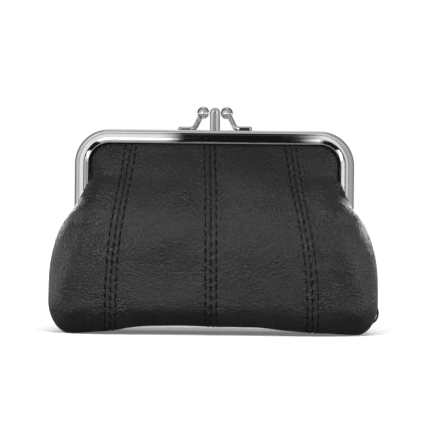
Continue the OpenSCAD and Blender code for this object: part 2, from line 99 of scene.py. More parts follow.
def smooth_curve(*pairs):
    """Smooth function through (place, value) pairs, without overshoot."""
    xs, ys = np.array(pairs, float).T
    rise = np.diff(ys) / np.diff(xs)
    slope = np.concatenate([[rise[0]], (rise[1:] + rise[:-1]) / 2, [rise[-1]]])
    for i in range(1, len(xs) - 1):
        if rise[i - 1] * rise[i] <= 0:
            slope[i] = 0
        else:
            limit = 3 * min(abs(rise[i - 1]), abs(rise[i]))
            slope[i] = math.copysign(min(abs(slope[i]), limit), slope[i])

    def value(x):
        x = np.clip(x, xs[0], xs[-1])
        i = np.clip(np.searchsorted(xs, x, side="right") - 1, 0, len(xs) - 2)
        run = xs[i + 1] - xs[i]
        t = (x - xs[i]) / run
        return (
            (1 + 2 * t) * (1 - t) ** 2 * ys[i]
            + t * (1 - t) ** 2 * run * slope[i]
            + t * t * (3 - 2 * t) * ys[i + 1]
            + t * t * (t - 1) * run * slope[i + 1]
        )

    return value


def step(x, low, high):
    """Goes smoothly from 0 to 1 as x goes from low to high."""
    t = np.clip((np.asarray(x, float) - low) / (high - low), 0, 1)
    return t * t * (3 - 2 * t)


def cloud(points, scale, seed):
    """Perlin noise at points (n, 3) in mm; scale is the size of a swell in mm."""
    shift = Vector((seed * 17.3, seed * 5.1, seed * 9.7))
    return np.array([noise.noise(Vector(p) / scale + shift) for p in points])


# Half width of the body's outline, depth of its middle and depth of its side edge, by height.
half_width = smooth_curve(
    (0, 59.6), (1.2, 61.6), (3.4, 63.6), (8, 65.7), (13, 66.35), (20, 66.3), (29.3, 65.5), (37.4, 63.5),
    (43.5, 60.8), (47.1, 58.3), (50, 56.0), (53.6, 53.9), (57.5, 51.9), (60.5, 50.4), (62, 49.9),
    (67.9, 49.9),
)
middle_depth = smooth_curve(
    (15, 24.3), (30, 24.3), (36, 24.1), (43, 23.3), (48, 22.1), (54, 19.8), (60, 16.9),
    (66, 13.3), (70, 10.6), (73, 8.4), (75, 6.9), (76.2, 5.8),
)
edge_depth = smooth_curve(
    (0, 0.12), (43, 0.12), (44, 0.6), (45.2, 2.0), (47, 4.9), (48.4, 6.9), (49.4, 7.9), (52, 8.6),
    (56, 8.5), (58.6, 8.0), (60.4, 6.9), (62, 5.5), (63.8, 4.85), (76.2, 4.9),
)
section_power = smooth_curve((0, 4.0), (43, 4.0), (60, 3.2), (76.2, 3.0))
section_root = smooth_curve((0, 0.4), (43, 0.4), (60, 0.46), (70, 0.5), (76.2, 0.42))

# How far the base is lifted off the table, from left to right.
base_rise = smooth_curve(
    (-57, 0), (-50, 0.6), (-44, 1.2), (-38, 1.9), (-32, 3.0), (-26, 3.6), (-20, 3.9), (-12, 4.1), (-4, 3.9),
    (4, 3.6), (12, 3.5), (20, 3.2), (28, 2.3), (36, 1.7), (44, 1.2), (52, 0.7), (59, 0.25), (63, 0),
)

# Distance of the seams from the middle, by height.
seam_places = {
    "left": smooth_curve((0, -40.6), (20, -40.4), (36, -39.3), (48, -37.7), (62, -35.4), (76.2, -33.4)),
    "middle": smooth_curve((0, -0.8), (20, -0.95), (53, -1.3), (76.2, -2.0)),
    "right": smooth_curve((0, 39.4), (18, 39.0), (32, 37.7), (48, 35.0), (61, 32.5), (76.2, 30.4)),
}


def run_along(line):
    """Distance of each point of a polyline from its start."""
    return np.concatenate([[0], np.cumsum(np.linalg.norm(np.diff(line, axis=0), axis=1))])


def points_along(line, run, places):
    """Points of a polyline at the given places; run is the place of each of its own points."""
    return np.stack([np.interp(places, run, line[:, k]) for k in range(line.shape[1])], 1)


def body_depth(h):
    if h > BELLY_Z:
        return middle_depth(h)
    return BELLY_DEPTH - BASE_DRAW_Y * ((BELLY_Z - h) / BELLY_Z) ** BASE_POWER


def belly_y(x):
    """Depth of the CAD's leather at its widest height, which carries the tab."""
    return BELLY_DEPTH * (1 - (abs(x) / BELLY_HALF) ** SIDE_POWER) ** DEPTH_POWER


def outline_half(h):
    """Half width of the leather at a height; above the legs it follows the frame's corner."""
    w = float(half_width(min(h, CORNER_Z)))
    if h > CORNER_Z:
        r = w - STRAIGHT_HALF
        w = STRAIGHT_HALF + r * math.sqrt(max(0.0, 1 - ((h - CORNER_Z) / LIP_R) ** 2))
    return w


def arch(x, z):
    """How far the leather at a place is lifted by the rise of the base."""
    return base_rise(np.asarray(x, float)) * max(0.0, 1 - z / ARCH_FADE_Z)


def section(h, side):
    """Points (x, y) across the front leather at one height, from the middle to the side edge. They
    lie closer together towards the edge, where the leather turns away."""
    q = np.linspace(0, 1, SECTION_POINTS)
    rel = 1 - (1 - q) ** 2.5
    wide, deep, edge = outline_half(h), body_depth(h), float(edge_depth(h))
    shape = (1 - rel ** float(section_power(h))).clip(0) ** float(section_root(h))
    return np.stack([side * rel * wide, -(edge + (deep - edge) * shape)], 1)


# Leather panels

# Distances from a seam at which the leather has columns of points.
SEAM_COLUMNS = [
    0, 0.12, 0.25, 0.4, 0.6, 0.85, 1.1, 1.4, 1.65, 1.85, 2.0, 2.15, 2.3, 2.5, 2.8, 3.3, 4.0, 5.0, 6.2,
]
# A row of stitches runs at this distance from the seam, in one column of points.
STITCH_OFFSET = 2.15
STITCH_COLUMN = SEAM_COLUMNS.index(STITCH_OFFSET)
STITCH_PITCH = 3.5

# Relief of the leather by distance from a seam: a valley, a swell, the dip of the stitches, a rim.
seam_relief = smooth_curve(
    (0, -0.45), (0.12, -0.35), (0.24, -0.06), (0.36, 0.08), (0.6, 0.18), (1.05, 0.24), (1.5, 0.2),
    (1.8, 0.12), (2.0, -0.06), (2.15, -0.15), (2.3, -0.06), (2.5, 0.1), (3.0, 0.14), (4.2, 0.08), (6.5, 0),
)
# Columns between the outermost ones of two seams, from those of a seam to the side edge, and beyond
# the side edge.
INNER_COLUMNS = 18
OUTER_COLUMNS = 29
EDGE_COLUMNS = 10

# Rows of the base, as shares of the way from its middle to its edge, and heights of the wall's rows.
base_rows = np.concatenate([np.linspace(0, 0.86, 16), [0.9, 0.94, 0.97, 0.99]])
wall_rows = np.concatenate([
    [0, 0.25, 0.6, 1.0, 1.5], np.arange(2.0, 75, 0.45), np.linspace(75, LIP_Z, 5),
])
# Rows in the channel: height above the lip and depth.
CHANNEL_ROWS = ((1.0, -5.35), (2.4, -5.1), (3.6, -5.05))

# How much of the base's rise the rear leather has at its lower edge, and how far the base bows up.
REAR_LIFT = 0.45
BASE_BOW = 0.45

# Heights between which the side edge changes: from the side seam to an open hem, from the hem to a
# fold in front of the legs, and from the fold into the channel.
SEAM_TO_HEM = (HINGE_Z, 44.5)
HEM_TO_FOLD = (49.5, 52.0)
FOLD_TO_CHANNEL = (60.0, 62.5)
SEAM_HALF_GAP = 0.12


def edge_points(h, side):
    """Points (x, y, z) that carry the side edge on."""
    w, y = outline_half(h), -float(edge_depth(h))
    k = np.arange(1, EDGE_COLUMNS + 1)
    part = k / EDGE_COLUMNS
    seam_in = np.stack([w - 0.35 * k, -SEAM_HALF_GAP * (1 - part)], 1)
    hem = np.stack([w - 0.04 * k - 0.5 * part ** 2, y + 0.7 * np.sin(part * 1.5)], 1)
    # A leg's inner edge is 50.5 mm from the middle and its face at y -6.8 mm. The fold goes past it in
    # front and ends inside.
    fold = np.array([
        (w - 0.15, y + 0.3), (w - 0.5, y + 0.75), (w - 1.1, min(y + 1.0, -7.4)), ((w + 50) / 2, -7.3),
        (50.1, -7.3), (49.8, -6.9), (49.8, -6.2), (50.2, -5.5), (51.2, -5.2), (52.0, -5.1),
    ])
    to_fold = float(step(h, *HEM_TO_FOLD))
    to_hem = float(step(h, *SEAM_TO_HEM))
    into = float(step(h, *FOLD_TO_CHANNEL))
    open_edge = hem * (1 - to_fold) + fold * to_fold
    xy = seam_in * (1 - to_hem) + open_edge * to_hem
    turn = math.asin(min(1.0, max(0.0, (h - CORNER_Z) / LIP_R)))
    out = 0.3 * k
    tucked = np.stack([w + out * math.cos(turn), y + 0.02 * k], 1)
    xy = xy * (1 - into) + tucked * into
    z = h + into * out * math.sin(turn)
    return np.stack([side * xy[:, 0], xy[:, 1], z], 1)


def panel_section(h, a, b, side):
    """One row of a panel between seams a and b, or between seam a and the side edge. Returns points
    and the distance of each to its nearest seam."""
    half = section(h, side)
    start = float(seam_places[a](h))
    margin = SEAM_COLUMNS[-1]
    if b:
        # An inner panel crosses the middle of the section by a little, so both halves are joined.
        line = np.concatenate([section(h, -side)[:0:-1], half])
        run = run_along(line)
        ends = sorted((start * side, float(seam_places[b](h)) * side))
        first, last = np.interp(ends, line[:, 0] * side, run)
        total = last - first
        middle = np.linspace(margin, total - margin, INNER_COLUMNS + 2)[1:-1]
        places = np.concatenate([SEAM_COLUMNS, middle, total - np.array(SEAM_COLUMNS[::-1])])
        return points_along(line, run, first + places), np.minimum(places, total - places)
    run = run_along(half)
    first = float(np.interp(abs(start), np.abs(half[:, 0]), run))
    total = run[-1] - first
    rest = np.linspace(0, 1, OUTER_COLUMNS + 1)[1:] ** 0.85
    places = np.concatenate([SEAM_COLUMNS, margin + (total - margin) * rest])
    return points_along(half, run, first + places), places


def base_width(f):
    """Width of the base's row f, as a share: the middle is 3 % narrower than the edge."""
    return 0.97 + 0.03 * f


def panel_grid(a, b, side, lift):
    """Smooth surface of a front panel: points (rows, columns, 3) and the distance of each to its seam.
    lift tells how much of the base's rise is left at the panel's lower edge."""
    grid, near = [], []

    def add(row, to_seam, edge):
        if edge is not None:
            row = np.concatenate([row, edge])
            to_seam = np.concatenate([to_seam, np.full(EDGE_COLUMNS, to_seam[-1])])
        grid.append(row)
        near.append(to_seam)

    for f in base_rows:
        points, to_seam = panel_section(0.0, a, b, side)
        points = points * [base_width(f), f]
        bow = BASE_BOW * (1 - f ** 6)
        edge = None
        if b is None:
            edge = edge_points(0.0, side) * [base_width(f), f, 1]
            edge[:, 2] = bow + 0.2
        add(np.column_stack([points, bow + arch(points[:, 0], 0) * (1 + (lift - 1) * f)]), to_seam, edge)
    for h in map(float, wall_rows):
        points, to_seam = panel_section(h, a, b, side)
        row = np.column_stack([points, h + arch(points[:, 0], h) * lift])
        add(row, to_seam, None if b else edge_points(h, side))
    top = grid[-1]
    for up, y in CHANNEL_ROWS:
        row = top.copy()
        row[:, 1] = y
        row[:, 2] = np.maximum(top[:, 2], LIP_Z + up)
        add(row, near[-1], None)
    return np.array(grid), np.array(near)


def normals_of(grid):
    """Normals of a grid of points, turned so that they look towards -Y in its middle."""
    n = np.cross(np.gradient(grid, axis=1), np.gradient(grid, axis=0))
    if n[len(n) // 2, n.shape[1] // 2, 1] > 0:
        n = -n
    return n / np.maximum(np.linalg.norm(n, axis=2, keepdims=True), 1e-9)


def ridge(x, z, line, width, height):
    """A soft fold along a polyline in the front view; it fades out at both ends."""
    best = np.full(x.shape, np.inf)
    along = np.zeros(x.shape)
    line = np.array(line, float)
    run = run_along(line)
    for i in range(len(line) - 1):
        d = line[i + 1] - line[i]
        t = np.clip(((x - line[i][0]) * d[0] + (z - line[i][1]) * d[1]) / (d @ d), 0, 1)
        far = np.hypot(x - line[i][0] - t * d[0], z - line[i][1] - t * d[1])
        hit = far < best
        best = np.where(hit, far, best)
        along = np.where(hit, (run[i] + t * np.linalg.norm(d)) / run[-1], along)
    fade = np.sin(np.clip(along, 0, 1) * math.pi) ** 0.7
    return height * fade * np.exp(-((best / width) ** 2))


# Soft folds of the front and the back: points in the front view, width and height.
FRONT_FOLDS = [
    ([(-40, 76), (-43, 66), (-46, 54), (-49.5, 43), (-56, 26), (-62, 8)], 4.0, 1.0),
    ([(-48, 73), (-49, 64), (-53, 54), (-58, 44)], 2.4, -0.4),
    ([(39, 76), (43, 64), (45.5, 52), (48, 43), (53, 26), (61, 8)], 4.2, 1.0),
    ([(47, 74), (49, 66), (52, 56), (57, 45)], 2.4, -0.5),
    ([(-64, 1), (-57, 7), (-49, 14)], 2.4, 0.45),
    ([(64, 1), (58, 7), (51, 13)], 2.4, 0.4),
    ([(33, 56), (40, 49), (48, 41)], 1.1, -0.4),
    ([(35, 50), (42, 43), (50, 34)], 1.0, -0.35),
    ([(36, 44), (44, 36), (52, 26)], 1.1, -0.35),
    ([(37, 37), (44, 29), (51, 19)], 1.1, -0.3),
    ([(-50, 50), (-46, 42), (-43, 32)], 1.2, -0.3),
    ([(-29, 31), (-20, 37), (-10, 44), (-4, 54)], 6.0, 0.8),
    ([(-33, 54), (-24, 60), (-10, 67)], 4.5, -0.4),
    ([(-30, 18), (-14, 21), (-4, 30)], 5.0, -0.4),
    ([(29, 60), (31, 50), (34, 38), (36, 26)], 4.5, 0.7),
    ([(4, 50), (12, 42), (22, 30)], 5.0, -0.45),
    ([(3, 66), (12, 58), (24, 55)], 4.0, 0.35),
]
BACK_FOLDS = [
    ([(-38, 75), (-45, 64), (-51, 52), (-59, 40)], 3.0, 0.7),
    ([(-47, 72), (-50, 60), (-56, 48)], 2.0, -0.6),
    ([(39, 75), (45, 65), (50, 55), (58, 42)], 3.2, 0.75),
    ([(47, 73), (50, 62), (55, 50)], 2.0, -0.65),
    ([(-63, 2), (-54, 12), (-46, 22)], 2.6, 0.5),
    ([(63, 2), (55, 10), (47, 19)], 2.6, 0.55),
    ([(-50, 46), (-44, 38), (-38, 27)], 1.4, -0.3),
    ([(10, 28), (20, 38), (31, 46)], 5.0, 0.4),
    ([(-28, 20), (-14, 30), (-4, 44)], 5.0, -0.35),
]


# Layers of the leather's swells, as height and size, the crown of a panel between its seams, and the
# fine wrinkles, which are long one way and narrow the other.
SWELL_LAYERS = ((0.5, 21.0), (0.2, 8.5), (0.07, 3.4))
PANEL_CROWN = 0.35
WRINKLE_HEIGHT, WRINKLE_LENGTH, WRINKLE_WIDTH = 0.16, 9.0, 1.35


def patch(x, z, centre, size):
    """Soft oval spot in the front view."""
    return np.exp(-(((x - centre[0]) / size[0]) ** 2) - ((z - centre[1]) / size[1]) ** 2)


def leather_swell(grid, near, seed, folds):
    """How far the leather stands out from its smooth surface, besides the relief of its seams."""
    points = grid.reshape(-1, 3)
    x, y, z = np.moveaxis(grid, -1, 0)
    layers = [high * cloud(points, size, seed + i) for i, (high, size) in enumerate(SWELL_LAYERS)]
    swell = sum(layers).reshape(x.shape)
    # The wrinkles run across the swells of the outer panels.
    along, across = x * 0.62 - z * 0.78, x * 0.78 + z * 0.62
    turned = np.stack([along / WRINKLE_LENGTH, across / WRINKLE_WIDTH, y / WRINKLE_LENGTH], -1)
    shift = Vector((seed, 0, 0))
    wrinkles = np.array([noise.noise(Vector(p) + shift) for p in turned.reshape(-1, 3)]).reshape(x.shape)
    wrinkled = patch(x, z, (44, 39), (9, 12)) + 0.5 * patch(x, z, (-46, 34), (7, 14))
    swell += WRINKLE_HEIGHT * wrinkled * wrinkles
    swell += PANEL_CROWN * step(near, 2.5, 11) * step(z, 2, 12) * (1 - step(z, 64, 75))
    for fold, width, height in folds:
        swell += ridge(x, z, fold, width, height)
    return swell * (1 - 0.8 * step(z, 70, 76)) * step(near, 0.3, 3.5)


def make_mesh(name, points, faces, material, slot, smooth_faces=None):
    """Mesh object; faces after the first smooth_faces ones stay flat, so that a rim is crisp."""
    mesh = bpy.data.meshes.new(name)
    mesh.from_pydata([tuple(p * MM) for p in points], [], faces)
    count = len(faces) if smooth_faces is None else smooth_faces
    mesh.polygons.foreach_set("use_smooth", [i < count for i in range(len(faces))])
    mesh.update()
    obj = bpy.data.objects.new(name, mesh)
    bpy.context.scene.collection.objects.link(obj)
    mesh.materials.append(material)
    return obj


def shell_faces(rows, cols, flip):
    """Faces of a closed shell between an outer and an inner grid of points."""
    k = rows * cols
    faces = []
    for i in range(rows - 1):
        for j in range(cols - 1):
            p = i * cols + j
            faces.append((p, p + 1, p + cols + 1, p + cols))
            faces.append((k + p, k + p + cols, k + p + cols + 1, k + p + 1))
    for i in range(rows - 1):
        for j in (0, cols - 1):
            p, q = i * cols + j, (i + 1) * cols + j
            faces.append((p, q, k + q, k + p) if j == 0 else (p, k + p, k + q, q))
    for j in range(cols - 1):
        for i in (0, rows - 1):
            p, q = i * cols + j, i * cols + j + 1
            faces.append((p, k + p, k + q, q) if i == 0 else (p, q, k + q, k + p))
    return [f[::-1] for f in faces] if flip else faces


# Panels of one face: name, seam nearer the middle, seam further out if there is one, and side.
PANELS = [
    ("panel_1", "left", None, -1),
    ("panel_2", "middle", "left", -1),
    ("panel_3", "middle", "right", 1),
    ("panel_4", "right", None, 1),
]
thread_lines = {"front": [], "rear": []}

# Relief beside a row of stitches: height, distance from the seam and width of the bridges of leather
# between two stitches and of the puckers, and the same for the places where the seam closes.
BRIDGE = (0.22, STITCH_OFFSET, 0.25)
PUCKER = (0.06, 1.1, 0.9)
CLOSING = (0.46, 0.0, 0.22)

# The side seam of the closed part is a soft valley of this depth and width, and the leather that is
# tucked in beyond the side edge is this thick.
SIDE_SEAM_DEPTH, SIDE_SEAM_WIDTH = 0.4, 0.7
TUCKED_T = 0.3


def band(near, height, distance, width):
    return height * np.exp(-(((near - distance) / width) ** 2))


def stitch_relief(near, phase):
    """Relief that a row of stitches gives the leather; phase counts its stitches by row of points."""
    wave = np.cos(2 * math.pi * phase)
    bridged = step(wave, 0.6, 0.95)
    closed = step(np.cos(2 * math.pi * (phase + 0.3)), -0.2, 0.4)
    rise = band(near, *BRIDGE) * bridged[:, None]
    pucker = band(near, *PUCKER) * -wave[:, None]
    return rise + pucker + band(near, *CLOSING) * closed[:, None]


def build_panel(face, name, a, b, side, material, seed):
    front = face == "front"
    grid, near = panel_grid(a, b, side, 1.0 if front else REAR_LIFT)
    normal = normals_of(grid)
    rows, cols = grid.shape[:2]
    z = grid[..., 2]
    in_first_half = np.arange(cols) < cols / 2
    base = np.arange(rows)[:, None] < len(base_rows) - 3

    relief = seam_relief(near)
    stitched = [STITCH_COLUMN, cols - 1 - STITCH_COLUMN] if b else [STITCH_COLUMN]
    phases = [run_along(grid[:, column]) / STITCH_PITCH for column in stitched]
    for column, phase in zip(stitched, phases):
        here = in_first_half == (column < cols / 2)
        relief = relief + np.where(here, stitch_relief(near, phase), 0)
    swell = leather_swell(grid, near, seed, FRONT_FOLDS if front else BACK_FOLDS)
    thick = np.full((rows, cols), LEATHER_T)
    if b is None:
        tucked = np.arange(cols) >= cols - EDGE_COLUMNS
        edge = cols - EDGE_COLUMNS - 1
        dist = np.linalg.norm(grid[:, edge:edge + 1] - grid, axis=2)
        relief = relief - band(dist, SIDE_SEAM_DEPTH, 0.0, SIDE_SEAM_WIDTH) * (1 - step(z, 42, 46))
        swell = swell * step(dist, 0.2, 4.0 + 10.0 * (1 - step(z, 34, 50)))
        relief[:, tucked] = 0
        swell[:, tucked] = 0
        thick = np.where(tucked, TUCKED_T, thick * (0.35 + 0.65 * step(dist, 0.0, 3.0)))
    swell = np.where(base, swell * 0.1, swell * (0.3 + 0.7 * step(z, 2, 10)))

    # Both surfaces are smooth in the channel, and the base stays clear of the floor.
    fade_top = 1 - step(z, LIP_Z - 1.0, LIP_Z + 0.3)
    outer = grid + normal * ((relief + swell) * np.maximum(fade_top, 0.25))[..., None]
    inner = grid + normal * ((swell * 0.8) * fade_top - thick)[..., None]
    middle_seam = np.clip(1 - np.abs(grid[..., 1]) / 1.2, 0, 1) * base
    raised = np.maximum(outer[..., 2] + 0.3 * middle_seam, 0.04)
    outer[..., 2] = np.where(base, raised, np.maximum(outer[..., 2], 0))
    if not front:
        for part in (outer, inner, normal):
            part[..., 1] *= -1
    points = np.concatenate([outer.reshape(-1, 3), inner.reshape(-1, 3)])
    faces = shell_faces(rows, cols, flip=(side < 0) == front)
    smooth_faces = 2 * (rows - 1) * (cols - 1)
    obj = make_mesh(f"{face}_{name}_leather", points, faces, material, "black_leather", smooth_faces)
    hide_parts(f"{face}_{name}_upper", f"{face}_{name}_lower")
    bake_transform(obj)
    for column, phase in zip(stitched, phases):
        thread_lines[face].append((outer[:, column], normal[:, column], phase))


def tube(path, normal, radius, sides=7):
    """Points and faces of a closed tube along a path, with rounded ends."""
    count = len(path)
    tangent = np.gradient(path, axis=0)
    tangent /= np.linalg.norm(tangent, axis=1, keepdims=True)
    across = np.cross(tangent, normal)
    across /= np.linalg.norm(across, axis=1, keepdims=True)
    up = np.cross(across, tangent)
    angle = np.arange(sides) * 2 * math.pi / sides
    ring = across[:, None] * np.cos(angle)[None, :, None] + up[:, None] * np.sin(angle)[None, :, None]
    points = (path[:, None] + ring * radius[:, None, None]).reshape(-1, 3)
    faces = []
    for i in range(count - 1):
        for j in range(sides):
            p, q = i * sides + j, i * sides + (j + 1) % sides
            faces.append((p, q, q + sides, p + sides))
    faces.append(tuple(range(sides - 1, -1, -1)))
    faces.append(tuple((count - 1) * sides + j for j in range(sides)))
    return points, faces


def joined(parts):
    """Points and faces of several pieces as one."""
    points, faces, total = [], [], 0
    for part_points, part_faces in parts:
        points.append(part_points)
        faces += [tuple(i + total for i in corners) for corners in part_faces]
        total += len(part_points)
    return np.concatenate(points), faces


# Stitches are counted from the middle of the base, and the first ones are left out. A stitch takes a
# part of the pitch, and the ends of its thread lie inside the leather.
FIRST_STITCH = 3
STITCH_START, STITCH_SPAN = 0.12, 0.76
THREAD_R, THREAD_RISE, THREAD_SINK = 0.28, 0.26, 0.16


def build_thread(face, material):
    """Topstitching: one short tube for each stitch, dipping into the leather at both ends."""
    tubes = []
    share = np.linspace(0, 1, 9)
    lift = THREAD_RISE * np.sin(share * math.pi) ** 0.5 - THREAD_SINK
    radius = THREAD_R * (0.45 + 0.55 * np.sin(np.clip(share, 0.02, 0.98) * math.pi) ** 0.4)
    for line, normal, phase in thread_lines[face]:
        last = int(np.interp(LIP_Z - 0.5, line[:, 2][len(base_rows):], phase[len(base_rows):]))
        for n in range(FIRST_STITCH, last + 1):
            at = n + STITCH_START + share * STITCH_SPAN
            up = points_along(normal, phase, at)
            tubes.append(tube(points_along(line, phase, at) + up * lift[:, None], up, radius))
    obj = make_mesh(f"{face}_topstitching", *joined(tubes), material, "black_leather")
    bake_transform(obj)


# Lining and divider

lining_edge_depth = smooth_curve(
    (0, 0.9), (37, 0.9), (39.5, 3.3), (42, 4.0), (44, 5.0), (46, 6.3), (47.5, 6.2), (50, 4.4), (76.2, 3.6),
)
lining_width = smooth_curve(
    (0, 57.6), (3.4, 61.4), (8, 63.6), (13, 64.2), (29.3, 63.3), (37.4, 61.2), (42, 57.6),
    (44, 55.0), (46, 51.2), (47.5, 49.0), (60, 48.8), (67.9, 48.9),
)
# The lining's depth behind the leather's outside, and what is added where the frame takes room.
LINING_BACK, LINING_BACK_TOP = 1.9, 1.6
# Height of the lining's ripples.
LINING_RIPPLE = 0.35


def build_lining(face, material):
    """Lining of one compartment: over the base, up along the leather and into the channel."""
    share = np.linspace(-1, 1, 97)
    share = np.sign(share) * (1 - (1 - np.abs(share)) ** 1.35)
    wall = []
    for h in np.concatenate([np.arange(1.9, 74, 1.5), [75.0, LIP_Z]]):
        w = float(lining_width(min(h, CORNER_Z)))
        if h > CORNER_Z:
            turned = (h - CORNER_Z) / (LIP_R + 0.6)
            w = STRAIGHT_HALF + (w - STRAIGHT_HALF) * math.sqrt(max(0.02, 1 - turned ** 2))
        edge = float(lining_edge_depth(h))
        back = LINING_BACK + LINING_BACK_TOP * float(step(h, 62, 75))
        deep = max(edge + 0.01, body_depth(h) - back)
        root = float(section_root(h)) + 0.06
        y = edge + (deep - edge) * (1 - np.abs(share) ** float(section_power(h))).clip(0) ** root
        wall.append(np.column_stack([share * w, -y, h + arch(share * w, h)]))
    base = [wall[0] * [1, f, 1] - [0, 0, 0.25] for f in (0.04, 0.25, 0.5, 0.75, 0.92)]
    top = [wall[-1] * [1, 0, 1] + [0, y, up] for up, y in ((1.0, -3.3), (2.6, -3.1))]
    grid = np.array(base + wall + top)
    rows, cols = grid.shape[:2]
    z = grid[..., 2]
    ripple = LINING_RIPPLE * cloud(grid.reshape(-1, 3), 7.0, 31 if face == "front" else 37)
    ripple = ripple.reshape(rows, cols) * ((1 - step(z, 60, 72)) * step(z, 2, 8))
    normal = normals_of(grid)
    outer = grid + normal * ripple[..., None]
    inner = outer - normal * LINING_T
    points = np.concatenate([outer.reshape(-1, 3), inner.reshape(-1, 3)])
    if face == "rear":
        points[:, 1] *= -1
    faces = shell_faces(rows, cols, flip=face == "rear")
    obj = make_mesh(f"{face}_lining", points, faces, material, "lining_cloth")
    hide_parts(f"{face}_lining_upper", f"{face}_lining_lower")
    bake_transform(obj)
    return obj


# The divider lies this far inside the body, narrows at the hinge to pass between the pins, and fills
# the middle frame above, inside its sheet. Its cloths stand apart by twice the gap.
DIVIDER_INSET, DIVIDER_NECK, FRAME_SHEET = 2.6, 52.2, 0.8
DIVIDER_GAP, DIVIDER_T = 0.06, 0.4
NECK_FROM, NECK_TO, FRAME_FROM = 36.5, 40, 56.6


def build_divider(face, material):
    """Cloth of the divider, from the middle frame's channel down between the two compartments."""
    side = -1 if face == "front" else 1
    share = np.linspace(-1, 1, 81)
    inner_r = CORNER_R - FRAME_SHEET
    rows = []
    for h in np.concatenate([np.arange(6.6, 38, 1.6), np.arange(38.5, 80.6, 1.4), [80.9]]):
        neck = float(step(h, NECK_FROM, NECK_TO))
        w = (outline_half(min(h, 37.0)) - DIVIDER_INSET) * (1 - neck) + DIVIDER_NECK * neck
        if h > FRAME_FROM:
            w = STRAIGHT_HALF + inner_r
        if h > CORNER_Z:
            w = STRAIGHT_HALF + math.sqrt(max(0.5, inner_r ** 2 - (h - CORNER_Z) ** 2))
        rows.append(np.column_stack([share * w, np.zeros(len(share)), np.full(len(share), h)]))
    grid = np.array(rows)
    wave = 0.10 * np.abs(cloud(grid.reshape(-1, 3), 9.0, 41)).reshape(grid.shape[:2])
    wave *= 1 - step(grid[..., 2], 60, 76)
    outer, inner = grid.copy(), grid.copy()
    inner[..., 1] = side * (DIVIDER_GAP + wave)
    outer[..., 1] = side * (DIVIDER_GAP + DIVIDER_T + wave)
    points = np.concatenate([outer.reshape(-1, 3), inner.reshape(-1, 3)])
    faces = shell_faces(*grid.shape[:2], flip=face == "rear")
    obj = make_mesh(f"divider_{face}", points, faces, material, "lining_cloth")
    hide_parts(f"divider_{face}_cloth")
    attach(obj, "pouch")
    return obj


# Ring tab

# Bevel of the strap's edges, and its stitches: ends (x, z) of each in the strap's own frame.
TAB_BEVEL = 0.18
TAB_STITCHES = ((-1.1, 2.6, 1.1, 2.6), (-1.1, 5.6, 1.1, 5.6), (-1.1, 2.9, -1.1, 5.3), (1.1, 2.9, 1.1, 5.3))


def tab_path():
    """Middle line (y, z) of the strap: down the body's side, round the wire and up again, with its
    outer end a little shorter."""
    bend = TAB_BORE_R + TAB_T / 2
    path = [(TAB_T / 2, z) for z in np.linspace(TAB_H, 1.6, 12)]
    for a in np.radians(np.linspace(180, 380, 30)):
        path.append((TAB_BORE_R + TAB_T + bend * math.cos(a), bend * math.sin(a)))
    y0, z0 = path[-1]
    end_y, end_z = TAB_T * 1.5 + 0.04, TAB_H - 0.35
    for t in np.linspace(0, 1, 14)[1:]:
        path.append((y0 + (end_y - y0) * math.sin(t * math.pi / 2), z0 + (end_z - z0) * t))
    return np.array(path)


def build_tab(leather, thread):
    """Leather loop that holds the ring: a strip folded round the wire, its two ends sewn together."""
    line = tab_path()
    tangent = np.gradient(line, axis=0)
    tangent /= np.linalg.norm(tangent, axis=1, keepdims=True)
    across = np.stack([-tangent[:, 1], tangent[:, 0]], 1)
    half_w, half_t = TAB_W / 2, TAB_T / 2
    under = [(-half_w, -half_t + TAB_BEVEL), (-half_w + TAB_BEVEL, -half_t)]
    under += [(x, -half_t) for x in np.linspace(-half_w + 0.5, half_w - 0.5, 6)]
    under += [(half_w - TAB_BEVEL, -half_t), (half_w, -half_t + TAB_BEVEL)]
    profile = under + [(-x, -o) for x, o in under]
    points = [(x, *(p + n * o)) for p, n in zip(line, across) for x, o in profile]
    sides = len(profile)
    faces = []
    for i in range(len(line) - 1):
        for j in range(sides):
            p, q = i * sides + j, i * sides + (j + 1) % sides
            faces.append((p, p + sides, q + sides, q))
    faces.append(tuple(range(sides)))
    faces.append(tuple((len(line) - 1) * sides + j for j in range(sides - 1, -1, -1)))

    # The strap stands on the body where its side slopes away.
    turn = math.atan2(belly_y(TAB_X - 0.1) - belly_y(TAB_X + 0.1), 0.2)
    out = np.array([math.sin(turn), math.cos(turn), 0])
    spin = np.array([[math.cos(turn), -math.sin(turn), 0], out, [0, 0, 1]])
    foot = np.array([TAB_X, belly_y(TAB_X), RING_Z]) + out * TAB_GAP
    tab = make_mesh("ring_tab_strap", np.array(points) @ spin + foot, faces, leather, "black_leather")
    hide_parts("ring_tab")
    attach(tab, "pouch")

    share = np.linspace(0, 1, 7)
    depth = TAB_T * 2 + 0.05 + (0.12 * np.sin(share * math.pi) ** 0.5 - 0.06)
    stitches = []
    for x0, z0, x1, z1 in TAB_STITCHES:
        path = np.stack([x0 + (x1 - x0) * share, depth, z0 + (z1 - z0) * share], 1)
        stitch, stitch_faces = tube(path, np.tile([0.0, 1.0, 0.0], (7, 1)), np.full(7, 0.17))
        stitches.append((stitch @ spin + foot, stitch_faces))
    sewn = make_mesh("ring_tab_stitches", *joined(stitches), thread, "black_leather")
    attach(sewn, "pouch")


# Materials. Texture scales are in cells per metre, and bump distances in metres.

# Reach, in metres, of the painted shade that darkens the metal's colour where other surfaces stand near it.
PAINTED_SHADE_REACH = 0.0011


